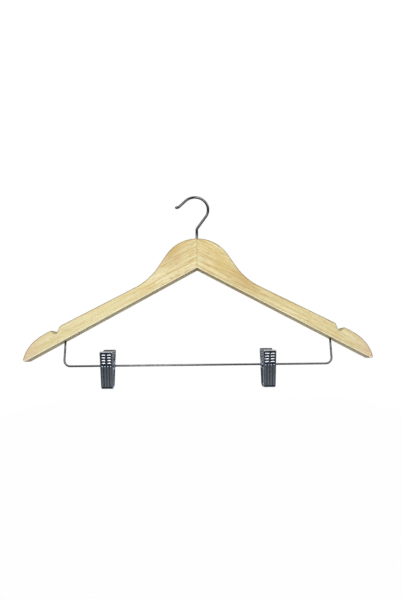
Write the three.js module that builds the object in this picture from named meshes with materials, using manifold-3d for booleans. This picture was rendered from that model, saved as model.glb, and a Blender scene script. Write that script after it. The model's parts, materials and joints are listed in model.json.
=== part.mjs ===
// Wooden clip hanger: two glued arms, a swivel hook, a bent trouser bar and two spring clips.
// Millimetres, +Z up, the front faces -Y. The origin lies on the hook's swivel axis, level with
// the inside top of its bow, where the hanger rests on a rail.
import * as THREE from 'three';
import { mergeVertices } from 'three/addons/utils/BufferGeometryUtils.js';
import Module from 'manifold-3d';

const wasm = await Module();
wasm.setup();

// Fits
const CLEARANCE = 0.3; // between neighbouring pieces
const GLUE_LINE = 0.1; // between the two arms

// Wooden arms, measured down from the crown of the neck
const HANGER_WIDTH = 445; // tip to tip
const WOOD_THICKNESS = 15;
const EDGE_ROUND = 0.8; // rounding of the long edges
const CROWN_RADIUS = 49; // hump under the hook
const NECK_SLOPE = 57; // degrees, steepest fall of the neck
const NECK_FILLET = 80; // hollow between the neck and an arm
const UPPER_SLOPE = 27.5; // degrees, fall of an arm's upper edge
const UPPER_DROP = 24.2; // crown to where the upper edges would meet
const LOWER_SLOPE = 28.8; // degrees, fall of an arm's lower edge
const LOWER_DROP = 41.4; // crown to where the lower edges meet
const TONGUE_THICKNESS = 6.4; // glued tongue of the mitre joint
const TONGUE_LENGTH = 8;

// Strap notch and rounded shoulder at the end of an arm
const NOTCH_FROM_TIP = 44.2; // tip to the notch's inner corner, level
const NOTCH_LENGTH = 12.2; // along the upper edge
const NOTCH_DEPTH = 7.6; // to the sharp corner that NOTCH_ROUND fills
const NOTCH_LOW = 8.8; // inner corner to the deepest point
const NOTCH_ROUND = 2;
const NOTCH_LIP_ROUND = 1.6;
const SHOULDER_LEAD = 11; // how far the curve follows the upper edge
const SHOULDER_FALL = 22.5; // how far it follows the end
const END_SLOPE = 80.5; // degrees, at the tip
const TIP_ROUND = 2.2;

// Hook
const HOOK_WIRE = 3.6;
const SHANK_RISE = 16.3; // crown to the first bend
const BOW_RISE = 28.7; // first bend to the bow's centre
const BOW_RADIUS = 18.6;
const BOW_OFFSET = -2.5; // bow's centre from the swivel axis
const SHANK_BEND = 6; // radius of the first bend
const TAIL_SLOPE = 44; // degrees
const TAIL_LENGTH = 13.6;
const TOE_SLOPE = 10; // degrees
const TOE_LENGTH = 3;
const TOE_BEND = 5; // radius
const TOE_BALL = 4.1; // diameter of the rounded end
const HEAD_DIAMETER = 6.4; // riveted head under the neck
const HEAD_HEIGHT = 1.8;
const HEAD_RECESS = 3; // above the apex of the lower edges
const WASHER_DIAMETER = 7.2;
const WASHER_THICKNESS = 1;

// Trouser bar
const BAR_WIRE = 2.5;
const LEG_FROM_TIP = 50; // tip to a leg, level
const LEG_LENGTH = 32.3; // below the arm
const LEG_SOCKET = 12; // depth of the leg in the arm
const BAR_BEND = 8; // radius

// Clips
const LEFT_CLIP_FROM_LEG = 56.5;
const RIGHT_CLIP_FROM_LEG = 82.4;
const CLIP_LEAN = 8.5; // degrees, the handles tip forward
const JAW_SHEET = 0.7;
const HANDLE_HEIGHT = 19.5; // pivot to the top edge
const HANDLE_WIDTH = 16.4; // at the top
const HANDLE_SPREAD = 11.8; // middle of the clip to the outside, at the top
const JAW_DROP = 28.9; // pivot to the lip
const JAW_WIDTH = 15.3; // at the lip
const JAW_SPREAD = 6.4; // middle of the clip to the outside, at the lip
const FLANGE = 2.6; // depth of the side walls
const FLANGE_FILLET = 2.5; // where a side wall runs out into the ear
const EAR_RADIUS = 4.2;
const TOP_BEND = 1.5;
const LIP_BEND = 3.5;
const TOP_CORNER = 1.6;
const LIP_CORNER = 2;
const FLUTES = 4;
const FLUTE_RADIUS = 1.25;
const FLUTE_RISE = 0.5;
const FLUTE_SIDE = 2.4; // outer flute to the jaw's edge
const FLUTE_TOP = 0.6; // rounded ends, above the pivot
const FLUTE_FOOT = 2.4; // rounded ends, above the lip
const GRIP_ROWS = 4;
const GRIP_LENGTH = 4.9; // of one crescent
const GRIP_HEIGHT = 1.9;
const GRIP_RISE = 0.55;
const GRIP_ARCH = 0.6; // droop of a crescent's ends
const GRIP_GAP = 2.1; // between the two columns
const GRIP_FIRST = 4.2; // pivot to the lowest row
const GRIP_MARGIN = 4.9; // top row to the handle's top edge
const EYELET_WALL = 0.45; // tube that carries the clip on the bar
const FLARE_RISE = 0.8; // of the eyelet's ends
const FLARE_THICKNESS = 0.5;
const SPRING_WIRE = 1;
const SPRING_TURNS = 6;
const SPRING_REACH = 11; // pivot to the ends of the legs

// Facets
const WOOD_ARC_STEP = 9; // degrees
const WIRE_ARC_STEP = 11;
const SHEET_ARC_STEP = 22;
const CURVE_STEPS = 12;
const HOOK_SIDES = 12;
const BAR_SIDES = 10;
const ROUND_SIDES = 16;
const COIL_STEPS = 8;
const COIL_SIDES = 5;

const rad = THREE.MathUtils.degToRad;
const point = (x, y) => new THREE.Vector2(x, y);
const along = (degrees) => point(Math.cos(rad(degrees)), Math.sin(rad(degrees)));

// Sizes that follow from those above
const crownZ = -(SHANK_RISE + BOW_RISE + BOW_RADIUS - HOOK_WIRE / 2);
const upperApex = point(0, crownZ - UPPER_DROP);
const lowerApex = point(0, crownZ - LOWER_DROP);
const lowerAt = (x) => lowerApex.y - Math.abs(x) * Math.tan(rad(LOWER_SLOPE));
const hookBore = HOOK_WIRE / 2 + CLEARANCE;
const headZ = lowerApex.y + HEAD_RECESS;
const washerZ = headZ + HEAD_HEIGHT + CLEARANCE;
const seatZ = washerZ + WASHER_THICKNESS + CLEARANCE;
const legX = HANGER_WIDTH / 2 - LEG_FROM_TIP;
const legTopZ = lowerAt(legX) + LEG_SOCKET;
const barZ = lowerAt(legX) - LEG_LENGTH;

const eyeletBore = BAR_WIRE / 2 + CLEARANCE;
const eyeletRadius = eyeletBore + EYELET_WALL;
const plateSlope = (HANDLE_SPREAD - JAW_SPREAD) / (HANDLE_HEIGHT + JAW_DROP);
const plateAt = (z) => JAW_SPREAD + plateSlope * (z + JAW_DROP);
const halfWidthAt = (z) =>
  THREE.MathUtils.mapLinear(z, -JAW_DROP, HANDLE_HEIGHT, JAW_WIDTH / 2, HANDLE_WIDTH / 2);
const jawStagger = (JAW_SHEET + CLEARANCE) / 2; // the two jaws' ears pass side by side
const outerEar = halfWidthAt(EAR_RADIUS) + jawStagger;
const innerEar = halfWidthAt(-EAR_RADIUS) - jawStagger - JAW_SHEET;

// Where the line from a along da meets the line from b along db.
function meeting(a, da, b, db) {
  const reach = b.clone().sub(a).cross(db) / da.cross(db);
  return a.clone().addScaledVector(da, reach);
}

// Runs straight towards a corner and rounds it off in the direction of the next point.
function roundCorner(path, corner, next, radius) {
  const back = path.currentPoint.clone().sub(corner).normalize();
  const ahead = next.clone().sub(corner).normalize();
  const half = Math.acos(back.dot(ahead)) / 2;
  const start = corner.clone().addScaledVector(back, radius / Math.tan(half));
  const end = corner.clone().addScaledVector(ahead, radius / Math.tan(half));
  const inward = back.clone().add(ahead).normalize();
  const centre = corner.clone().addScaledVector(inward, radius / Math.sin(half));
  path.lineTo(start.x, start.y);
  const from = start.sub(centre).angle();
  path.absarc(centre.x, centre.y, radius, from, end.sub(centre).angle(), back.cross(ahead) > 0);
}

// Points of a path: the ends of its straight runs, and even steps round its curves.
function pathPoints(path, arcStep) {
  const points = [];
  for (const curve of path.curves) {
    const turn = curve.isEllipseCurve ? curve.getLength() / curve.xRadius : 0;
    const bent = turn ? Math.max(2, Math.round(turn / rad(arcStep))) : CURVE_STEPS;
    for (const p of curve.getPoints(curve.isLineCurve ? 1 : bent)) {
      if (!points.length || points.at(-1).distanceTo(p) > 0.001) points.push(p);
    }
  }
  return points;
}

// A closed outline from corners of [x, y, radius]; a radius of 0 leaves a sharp corner.
function roundedOutline(corners) {
  const at = corners.map(([x, y]) => point(x, y));
  const path = new THREE.Path();
  const middle = at[0].clone().lerp(at.at(-1), 0.5);
  path.moveTo(middle.x, middle.y);
  corners.forEach(([x, y, radius], i) => {
    const next = i + 1 < at.length ? at[i + 1] : middle;
    if (radius > 0) roundCorner(path, at[i], next, radius);
    else path.lineTo(x, y);
  });
  return pathPoints(path, SHEET_ARC_STEP);
}

// Solids with the outline drawn in X and Z and the depth along Y, or in Y and Z and along X.
function prismAlongY(outline, depth) {
  const options = { depth, bevelEnabled: false };
  const prism = new THREE.ExtrudeGeometry(new THREE.Shape(outline), options);
  return prism.translate(0, 0, -depth / 2).rotateX(Math.PI / 2);
}
function prismAlongX(outline, depth) {
  const options = { depth, bevelEnabled: false };
  const prism = new THREE.ExtrudeGeometry(new THREE.Shape(outline), options);
  return prism.translate(0, 0, -depth / 2).rotateY(Math.PI / 2).rotateX(Math.PI / 2);
}
function boxBetween(low, high) {
  const size = high.map((value, i) => value - low[i]);
  const middle = high.map((value, i) => (value + low[i]) / 2);
  return new THREE.BoxGeometry(...size).translate(...middle);
}
function pegAlongZ(radius, fromZ, toZ, x = 0) {
  const peg = new THREE.CylinderGeometry(radius, radius, toZ - fromZ, ROUND_SIDES);
  return peg.rotateX(Math.PI / 2).translate(x, 0, (fromZ + toZ) / 2);
}

// Joining and cutting
function solid(geometry) {
  const bare = geometry.clone().deleteAttribute('normal').deleteAttribute('uv');
  const merged = mergeVertices(bare, 1e-4);
  const vertProperties = merged.attributes.position.array;
  const triVerts = new Uint32Array(merged.index.array);
  return new wasm.Manifold(new wasm.Mesh({ numProp: 3, vertProperties, triVerts }));
}
function geometryOf(body) {
  const { vertProperties, triVerts } = body.getMesh();
  const geometry = new THREE.BufferGeometry();
  geometry.setAttribute('position', new THREE.BufferAttribute(vertProperties, 3));
  geometry.setIndex(new THREE.BufferAttribute(triVerts, 1));
  return geometry;
}

// A wire's centreline with one ring of the wire at each of its points, so that straight runs
// need no rings of their own.
class WirePath extends THREE.Curve {
  constructor(points) {
    super();
    this.points = points;
  }
  getPointAt(u) {
    return this.points[Math.round(u * (this.points.length - 1))].clone();
  }
  getTangentAt(u) {
    const i = Math.round(u * (this.points.length - 1));
    const before = this.points[Math.max(i - 1, 0)];
    const here = this.points[i];
    const after = this.points[Math.min(i + 1, this.points.length - 1)];
    const into = here.clone().sub(before).normalize();
    return after.clone().sub(here).normalize().add(into).normalize();
  }
}
function bentWire(points, diameter, sides) {
  const section = new THREE.Path().absarc(0, 0, diameter / 2, 0, 2 * Math.PI);
  const ring = section.getSpacedPoints(sides).slice(0, sides);
  const extrudePath = new WirePath(points);
  return new THREE.ExtrudeGeometry(new THREE.Shape(ring), { steps: points.length - 1, extrudePath });
}
const upright = (p) => new THREE.Vector3(p.x, 0, p.y);

// Half of the wooden outline, from the crown out to a tip and back to the apex below.
function armOutline() {
  const upper = along(-UPPER_SLOPE);
  const inward = along(-UPPER_SLOPE - 90);
  const crown = point(CROWN_RADIUS * Math.tan(rad(NECK_SLOPE) / 2), crownZ);
  const neck = meeting(crown, along(-NECK_SLOPE), upperApex, upper);
  const notchX = HANGER_WIDTH / 2 - NOTCH_FROM_TIP;
  const notch = meeting(point(notchX, 0), point(0, 1), upperApex, upper);
  const low = notch.clone().addScaledVector(upper, NOTCH_LOW).addScaledVector(inward, NOTCH_DEPTH);
  const lip = notch.clone().addScaledVector(upper, NOTCH_LENGTH);
  const shoulder = lip.clone().addScaledVector(upper, NOTCH_LIP_ROUND);
  const tip = point(HANGER_WIDTH / 2 - TIP_ROUND, 0);
  tip.y = lowerAt(tip.x) + TIP_ROUND / Math.cos(rad(LOWER_SLOPE));
  const endTop = tip.clone().addScaledVector(along(90 - END_SLOPE), TIP_ROUND);
  const lead = shoulder.clone().addScaledVector(upper, SHOULDER_LEAD);
  const fall = endTop.clone().addScaledVector(along(-END_SLOPE), -SHOULDER_FALL);

  const path = new THREE.Path();
  path.moveTo(0, crownZ);
  roundCorner(path, crown, neck, CROWN_RADIUS);
  roundCorner(path, neck, notch, NECK_FILLET);
  roundCorner(path, notch, low, NOTCH_LIP_ROUND);
  roundCorner(path, low, lip, NOTCH_ROUND);
  roundCorner(path, lip, shoulder, NOTCH_LIP_ROUND);
  path.bezierCurveTo(lead.x, lead.y, fall.x, fall.y, endTop.x, endTop.y);
  path.absarc(tip.x, tip.y, TIP_ROUND, rad(90 - END_SLOPE), rad(-90 - LOWER_SLOPE), true);
  path.lineTo(lowerApex.x, lowerApex.y);
  return pathPoints(path, WOOD_ARC_STEP);
}

// The whole wooden shape with its long edges rounded and its holes drilled.
function woodenBlank() {
  const right = armOutline();
  const left = right.slice(1, -1).reverse().map((p) => point(-p.x, p.y));
  const outline = new THREE.Shape([...right, ...left]);
  const blank = new THREE.ExtrudeGeometry(outline, {
    depth: WOOD_THICKNESS - 2 * EDGE_ROUND,
    bevelThickness: EDGE_ROUND,
    bevelSize: EDGE_ROUND,
    bevelOffset: -EDGE_ROUND,
    bevelSegments: 3,
  });
  blank.translate(0, 0, EDGE_ROUND - WOOD_THICKNESS / 2).rotateX(Math.PI / 2);
  const legHole = BAR_WIRE / 2 + CLEARANCE;
  const below = lowerAt(legX) - WOOD_THICKNESS;
  return solid(blank)
    .subtract(solid(pegAlongZ(hookBore, lowerApex.y - LOWER_DROP, crownZ + LOWER_DROP)))
    .subtract(solid(pegAlongZ(WASHER_DIAMETER / 2 + CLEARANCE, lowerApex.y - LOWER_DROP, seatZ)))
    .subtract(solid(pegAlongZ(legHole, below, legTopZ + CLEARANCE, -legX)))
    .subtract(solid(pegAlongZ(legHole, below, legTopZ + CLEARANCE, legX)));
}

// The blank parted at the seam: the left arm keeps a tongue, the right arm has its groove.
function arms() {
  const blank = woodenBlank();
  const far = HANGER_WIDTH;
  const seam = GLUE_LINE / 2;
  const tongue = (gap) =>
    boxBetween(
      [-TONGUE_LENGTH, -TONGUE_THICKNESS / 2 - gap, -far],
      [TONGUE_LENGTH + gap, TONGUE_THICKNESS / 2 + gap, far],
    );
  const leftSide = solid(boxBetween([-far, -far, -far], [-seam, far, far]));
  const rightSide = solid(boxBetween([seam, -far, -far], [far, far, far]));
  return {
    left: geometryOf(blank.intersect(leftSide.add(solid(tongue(0))))),
    right: geometryOf(blank.intersect(rightSide.subtract(solid(tongue(GLUE_LINE))))),
  };
}

// Hook wire from its riveted head up through the neck, round the bow and out to the toe.
function hookGeometry() {
  const bend = point(0, crownZ + SHANK_RISE);
  const bow = point(BOW_OFFSET, bend.y + BOW_RISE);
  const toBow = bow.clone().sub(bend);
  const climb = toBow.angle() - Math.asin(BOW_RADIUS / toBow.length());
  const bowStart = climb - Math.PI / 2;
  const bowEnd = Math.PI / 2 + rad(TAIL_SLOPE);
  const bowPoint = (angle) => bow.clone().add(point(Math.cos(angle), Math.sin(angle))
    .multiplyScalar(BOW_RADIUS));
  const tail = bowPoint(bowEnd).addScaledVector(along(180 + TAIL_SLOPE), TAIL_LENGTH);
  const toe = tail.clone().addScaledVector(along(180 + TOE_SLOPE), TOE_LENGTH);

  const path = new THREE.Path();
  path.moveTo(0, headZ + HEAD_HEIGHT / 2);
  roundCorner(path, bend, bowPoint(bowStart), SHANK_BEND);
  path.absarc(bow.x, bow.y, BOW_RADIUS, bowStart, bowEnd, false);
  roundCorner(path, tail, toe, TOE_BEND);
  path.lineTo(toe.x, toe.y);
  const wire = bentWire(pathPoints(path, WIRE_ARC_STEP).map(upright), HOOK_WIRE, HOOK_SIDES);

  const ball = new THREE.SphereGeometry(TOE_BALL / 2, HOOK_SIDES, HOOK_SIDES / 2);
  const head = new THREE.LatheGeometry([
    point(0, 0),
    point(HEAD_DIAMETER * 0.36, 0),
    point(HEAD_DIAMETER / 2, HEAD_HEIGHT / 2),
    point(HEAD_DIAMETER / 2, HEAD_HEIGHT),
    point(0, HEAD_HEIGHT),
  ], ROUND_SIDES);
  return geometryOf(
    solid(wire)
      .add(solid(ball.translate(toe.x, 0, toe.y)))
      .add(solid(head.rotateX(Math.PI / 2).translate(0, 0, headZ))),
  );
}

function washerGeometry() {
  const washer = new THREE.LatheGeometry([
    point(hookBore, 0),
    point(WASHER_DIAMETER / 2, 0),
    point(WASHER_DIAMETER / 2, WASHER_THICKNESS),
    point(hookBore, WASHER_THICKNESS),
    point(hookBore, 0),
  ], ROUND_SIDES);
  return washer.rotateX(Math.PI / 2).translate(0, 0, washerZ);
}

function barGeometry() {
  const path = new THREE.Path();
  path.moveTo(-legX, legTopZ);
  roundCorner(path, point(-legX, barZ), point(legX, barZ), BAR_BEND);
  roundCorner(path, point(legX, barZ), point(legX, legTopZ), BAR_BEND);
  path.lineTo(legX, legTopZ);
  return bentWire(pathPoints(path, WIRE_ARC_STEP).map(upright), BAR_WIRE, BAR_SIDES);
}

// Side view of a front jaw in Y and Z: top flange, plate, lip and a side wall with its ear.
function jawSide() {
  const mouth = -CLEARANCE / 2;
  const wallFoot = -JAW_DROP + LIP_BEND;
  const wallAt = (z) => -plateAt(z) + FLANGE;
  return roundedOutline([
    [mouth, -JAW_DROP + JAW_SHEET, 0],
    [wallAt(wallFoot), wallFoot, JAW_SHEET],
    [wallAt(-EAR_RADIUS), -EAR_RADIUS, FLANGE_FILLET],
    [EAR_RADIUS, -EAR_RADIUS, EAR_RADIUS * 0.999],
    [EAR_RADIUS, EAR_RADIUS, EAR_RADIUS * 0.999],
    [wallAt(EAR_RADIUS), EAR_RADIUS, FLANGE_FILLET],
    [wallAt(HANDLE_HEIGHT), HANDLE_HEIGHT, 0],
    [-HANDLE_SPREAD, HANDLE_HEIGHT, TOP_BEND],
    [-JAW_SPREAD, -JAW_DROP, LIP_BEND],
    [mouth, -JAW_DROP, 0],
  ]);
}

// The hollow between a jaw's side walls, one sheet inside the plate, its top and its lip.
function jawHollow() {
  const sheet = JAW_SHEET * Math.hypot(1, plateSlope);
  const top = HANDLE_HEIGHT - JAW_SHEET;
  const foot = -JAW_DROP + JAW_SHEET;
  return roundedOutline([
    [2 * EAR_RADIUS, foot, 0],
    [2 * EAR_RADIUS, top, 0],
    [-plateAt(top) + sheet, top, TOP_BEND - JAW_SHEET],
    [-plateAt(foot) + sheet, foot, LIP_BEND - JAW_SHEET],
  ]);
}

// Front view of a jaw in X and Z, drawn in by the inset.
function jawFront(inset) {
  const top = HANDLE_HEIGHT - inset;
  const foot = -JAW_DROP + inset;
  const wide = halfWidthAt(top) - inset;
  const narrow = halfWidthAt(foot) - inset;
  return roundedOutline([
    [narrow, foot, LIP_CORNER - inset],
    [wide, top, TOP_CORNER - inset],
    [-wide, top, TOP_CORNER - inset],
    [-narrow, foot, LIP_CORNER - inset],
  ]);
}

// Sets a form on the outside of the plate: Y points into the plate and Z up along it.
function ontoPlate(form, x, z, depth) {
  const lean = Math.atan(plateSlope);
  return form.translate(0, depth, 0).rotateX(lean).translate(x, -plateAt(z), z);
}

// The pressed pattern, as forms that swell the plate or as the smaller ones that hollow it
// from behind.
function pressedPattern(behind) {
  const forms = [];
  const shrink = behind ? JAW_SHEET : 0;
  const facets = behind ? 4 : 6;
  const fluteFoot = -JAW_DROP + FLUTE_FOOT;
  const flutePitch = (JAW_WIDTH - 2 * FLUTE_SIDE) / (FLUTES - 1);
  const straight = FLUTE_TOP - fluteFoot - 2 * FLUTE_RADIUS;
  for (let i = 0; i < FLUTES; i++) {
    const flute = new THREE.CapsuleGeometry(FLUTE_RADIUS - shrink, straight, 2, 8);
    const x = (i - (FLUTES - 1) / 2) * flutePitch;
    const middle = (FLUTE_TOP + fluteFoot) / 2;
    forms.push(ontoPlate(flute.rotateX(Math.PI / 2), x, middle, FLUTE_RADIUS - FLUTE_RISE));
  }
  const gripPitch = (HANDLE_HEIGHT - GRIP_MARGIN - GRIP_FIRST) / (GRIP_ROWS - 1);
  for (let row = 0; row < GRIP_ROWS; row++) {
    for (const side of [-1, 1]) {
      const grip = new THREE.SphereGeometry(1, facets, facets).rotateZ(Math.PI / 2);
      grip.scale(GRIP_LENGTH / 2 - shrink / 2, GRIP_RISE, GRIP_HEIGHT / 2 - shrink / 2);
      const at = grip.attributes.position;
      for (let i = 0; i < at.count; i++) {
        at.setZ(i, at.getZ(i) - GRIP_ARCH * (2 * at.getX(i) / GRIP_LENGTH) ** 2);
      }
      const x = side * (GRIP_LENGTH + GRIP_GAP) / 2;
      forms.push(ontoPlate(grip, x, GRIP_FIRST + row * gripPitch + GRIP_ARCH / 2, shrink));
    }
  }
  return forms.map(solid);
}

// One pressed jaw; the rear jaw is the same piece turned round.
function jawGeometry() {
  const wide = 2 * HANDLE_WIDTH;
  const deep = 4 * HANDLE_SPREAD;
  const hollow = solid(prismAlongX(jawHollow(), wide))
    .intersect(solid(prismAlongY(jawFront(JAW_SHEET), deep)));
  const pivot = new THREE.CylinderGeometry(1, 1, wide, ROUND_SIDES).rotateZ(Math.PI / 2);
  const pivotRadius = eyeletRadius + CLEARANCE;
  let jaw = solid(prismAlongX(jawSide(), wide))
    .intersect(solid(prismAlongY(jawFront(0), deep)));
  for (const form of pressedPattern(false)) jaw = jaw.add(form);
  jaw = jaw.subtract(hollow).subtract(solid(pivot.scale(1, pivotRadius, pivotRadius)));
  for (const form of pressedPattern(true)) jaw = jaw.subtract(form);
  return geometryOf(jaw);
}

// Eyelet: a tube with flared ends that holds the ears together and slides on the bar.
function eyeletGeometry() {
  const half = outerEar + CLEARANCE + FLARE_THICKNESS;
  const neck = half - FLARE_THICKNESS;
  const flare = eyeletRadius + FLARE_RISE;
  const eyelet = new THREE.LatheGeometry([
    point(eyeletBore, -half),
    point(flare, -half),
    point(flare, -neck),
    point(eyeletRadius, -neck),
    point(eyeletRadius, neck),
    point(flare, neck),
    point(flare, half),
    point(eyeletBore, half),
    point(eyeletBore, -half),
  ], ROUND_SIDES);
  return eyelet.rotateZ(-Math.PI / 2);
}

// Torsion spring round the eyelet, with a leg against the inside of each handle.
function springPoints() {
  const coil = (eyeletRadius + CLEARANCE + SPRING_WIRE / 2) / Math.cos(Math.PI / COIL_STEPS);
  const rest = plateAt(SPRING_REACH) - JAW_SHEET - CLEARANCE - SPRING_WIRE / 2;
  const leg = point(-rest, SPRING_REACH);
  const start = leg.angle() + Math.acos(coil / leg.length());
  const sweep = 2 * Math.PI * (SPRING_TURNS + 1) + Math.PI - 2 * start;
  const half = innerEar - CLEARANCE - SPRING_WIRE / 2;
  const steps = Math.round((COIL_STEPS * sweep) / (2 * Math.PI));
  const points = [new THREE.Vector3(-half, -rest, SPRING_REACH)];
  for (let i = 0; i <= steps; i++) {
    const angle = start + (sweep * i) / steps;
    const x = THREE.MathUtils.lerp(-half, half, i / steps);
    points.push(new THREE.Vector3(x, coil * Math.cos(angle), coil * Math.sin(angle)));
  }
  points.push(new THREE.Vector3(half, rest, SPRING_REACH));
  return points;
}

// Least gap between stretches of a wire that lie more than half a turn of it apart.
function leastGap(points, diameter) {
  const apart = COIL_STEPS / 2;
  let least = Infinity;
  for (let i = 0; i < points.length; i++) {
    for (let j = i + apart; j + 1 < points.length; j++) {
      const run = new THREE.Line3(points[j], points[j + 1]);
      const nearest = run.closestPointToPoint(points[i], true, new THREE.Vector3());
      least = Math.min(least, nearest.distanceTo(points[i]));
    }
  }
  return least - diameter;
}

const wood = new THREE.MeshStandardMaterial({ color: 0xe2d19e, roughness: 0.4, metalness: 0 });
const steel = new THREE.MeshStandardMaterial({ color: 0x9a9b9d, roughness: 0.22, metalness: 1 });
const pressed = new THREE.MeshStandardMaterial({ color: 0x8d9199, roughness: 0.2, metalness: 1 });

function piece(name, geometry, material) {
  const mesh = new THREE.Mesh(geometry, material);
  mesh.name = name;
  return mesh;
}

const jaw = jawGeometry();
const eyelet = eyeletGeometry();
const coilPoints = springPoints();
const spring = bentWire(coilPoints, SPRING_WIRE, COIL_SIDES);
console.log(`least gap in a spring: ${leastGap(coilPoints, SPRING_WIRE).toFixed(2)} mm`);

function clip(side, x) {
  const group = new THREE.Group();
  const front = piece(`${side}_front_jaw`, jaw, pressed);
  const rear = piece(`${side}_rear_jaw`, jaw, pressed);
  front.position.x = jawStagger;
  rear.position.x = -jawStagger;
  rear.rotation.z = Math.PI;
  group.add(front, rear, piece(`${side}_spring`, spring, steel));
  group.add(piece(`${side}_eyelet`, eyelet, steel));
  group.position.set(x, 0, barZ);
  group.rotation.x = rad(CLIP_LEAN);
  return group;
}

const { left, right } = arms();
const hanger = new THREE.Group();
hanger.add(piece('left_arm', left, wood), piece('right_arm', right, wood));
hanger.add(piece('hook', hookGeometry(), steel), piece('hook_washer', washerGeometry(), steel));
hanger.add(piece('trouser_bar', barGeometry(), steel));
hanger.add(clip('left_clip', -legX + LEFT_CLIP_FROM_LEG));
hanger.add(clip('right_clip', legX - RIGHT_CLIP_FROM_LEG));

export default hanger;
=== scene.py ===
# %% [markdown]
# # A wooden clip hanger
# Two flat wooden arms meet at a glued seam, under a wire hook that turns in the neck. A bent wire
# bar hangs below the arms and carries two clips of pressed steel, each with a spring of its own.
# The frame that is loaded first holds the exact solids, the bodies and the joints. The cells below
# rebuild each piece as a fine mesh in the same place, give it a finish and tie it to its body.

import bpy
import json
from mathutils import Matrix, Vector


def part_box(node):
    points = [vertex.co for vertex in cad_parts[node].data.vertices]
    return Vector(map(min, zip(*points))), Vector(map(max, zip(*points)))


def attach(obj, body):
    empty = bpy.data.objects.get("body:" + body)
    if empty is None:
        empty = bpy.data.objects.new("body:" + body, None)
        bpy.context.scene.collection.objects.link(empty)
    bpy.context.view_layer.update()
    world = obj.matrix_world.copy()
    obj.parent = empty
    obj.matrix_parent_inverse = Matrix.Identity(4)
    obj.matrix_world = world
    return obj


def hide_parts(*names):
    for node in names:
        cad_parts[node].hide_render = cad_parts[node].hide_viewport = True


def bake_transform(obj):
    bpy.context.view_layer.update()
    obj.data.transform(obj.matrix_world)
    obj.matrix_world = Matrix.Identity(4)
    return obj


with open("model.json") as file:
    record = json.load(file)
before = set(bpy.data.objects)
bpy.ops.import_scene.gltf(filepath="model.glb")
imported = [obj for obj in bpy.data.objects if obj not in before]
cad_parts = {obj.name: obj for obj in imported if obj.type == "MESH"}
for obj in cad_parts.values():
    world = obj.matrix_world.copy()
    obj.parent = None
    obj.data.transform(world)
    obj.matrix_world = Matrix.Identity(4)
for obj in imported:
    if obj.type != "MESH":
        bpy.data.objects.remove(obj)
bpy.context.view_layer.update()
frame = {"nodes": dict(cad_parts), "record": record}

# %% [markdown]
# ## Lines and arcs
# A woodworker's template, a bent wire and the side of a pressed clip are all drawn the same way:
# straight runs joined by arcs. A Blender curve with handles could hold them, but it only comes
# close to a true arc. Here a short function rounds each corner by its radius, so the sizes stay
# exact. All sizes are in millimetres until a mesh is made, and angles are in degrees.

# %% Rounded paths
import json
import math

import bpy
import numpy as np
from mathutils import Matrix, Vector

ARC_STEP = 3.0


def unit(degrees):
    """The direction at an angle in the drawing."""
    return np.array([math.cos(math.radians(degrees)), math.sin(math.radians(degrees))])


def arc(centre, radius, start, end, step=ARC_STEP):
    """Points of an arc between two angles, ends included."""
    count = max(2, math.ceil(abs(end - start) / step))
    return [np.array(centre) + radius * unit(a) for a in np.linspace(start, end, count + 1)]


def rounded(corners, step=ARC_STEP):
    """A path through corners of (x, z, radius), with its two ends left sharp."""
    at = [np.array(corner[:2], float) for corner in corners]
    path = [at[0]]
    for before, corner, after, given in zip(at, at[1:], at[2:], corners[1:]):
        radius = given[2]
        back = (before - corner) / np.linalg.norm(before - corner)
        ahead = (after - corner) / np.linalg.norm(after - corner)
        half = math.acos(np.clip(back @ ahead, -1, 1)) / 2
        middle = (back + ahead) / np.linalg.norm(back + ahead)
        centre = corner + middle * radius / math.sin(half)
        first = corner + back * radius / math.tan(half) - centre
        start = math.degrees(math.atan2(first[1], first[0]))
        turn = 180 - 2 * math.degrees(half)
        left = back[0] * ahead[1] - back[1] * ahead[0] < 0
        path += arc(centre, radius, start, start + (turn if left else -turn), step)
    return path + [at[-1]]


print("a quarter circle takes", len(arc((0, 0), 1, 0, 90)), "points")

# %% [markdown]
# ## The wooden blank
# The real arms are sawn from a 15 mm board with a template, notched for straps, and their edges are
# run along a rounding cutter. A bevel modifier would do the edges, but it gives up in tight corners
# such as the notch. Instead the outline is drawn in step by step while it moves round a quarter
# circle, which is just what the cutter does. First come the template's sizes.

# %% Sizes of the arms
HALF_WIDTH = 222.5
CROWN_Z, UPPER_DROP, LOWER_DROP = -61.8, 24.2, 41.4
CROWN_RADIUS, NECK_SLOPE, NECK_FILLET = 49.0, 57.0, 80.0
UPPER_SLOPE, LOWER_SLOPE = 27.5, 28.8
NOTCH_FROM_TIP, NOTCH_LENGTH, NOTCH_DEPTH, NOTCH_LOW = 44.2, 12.2, 7.6, 8.8
NOTCH_ROUND, LIP_ROUND = 2.0, 1.6
SHOULDER_LEAD, SHOULDER_FALL, SHOULDER_POINTS = 11.0, 22.5, 33
END_SLOPE, TIP_ROUND, TIP_STEP = 80.5, 2.2, 6


def lower_at(x):
    """Height of the arms' lower edge."""
    return CROWN_Z - LOWER_DROP - abs(x) * math.tan(math.radians(LOWER_SLOPE))


def meeting(a, along_a, b, along_b):
    """Where two lines in the drawing cross."""
    reach = np.linalg.solve(np.column_stack([along_a, -np.array(along_b)]), np.array(b) - a)
    return np.array(a) + reach[0] * np.array(along_a)


print("the lower edge falls by", round(lower_at(0) - lower_at(HALF_WIDTH), 1), "mm")

# %% [markdown]
# The template runs from the crown down the neck to the upper edge, into the strap notch, over the
# rounded shoulder to the tip, and back along the lower edge. Only the right half is drawn, and the
# left half is its mirror image. The shoulder is a free curve, so it is the one place where a Bezier
# curve serves better than arcs.

# %% Outline of an arm
SAME_POINT = 1e-4


def spaced(path):
    """The path without points that lie on top of each other."""
    kept = [np.array(path[0], float)]
    for p in path[1:]:
        if np.linalg.norm(p - kept[-1]) > SAME_POINT:
            kept.append(np.array(p, float))
    return np.array(kept)


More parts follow.
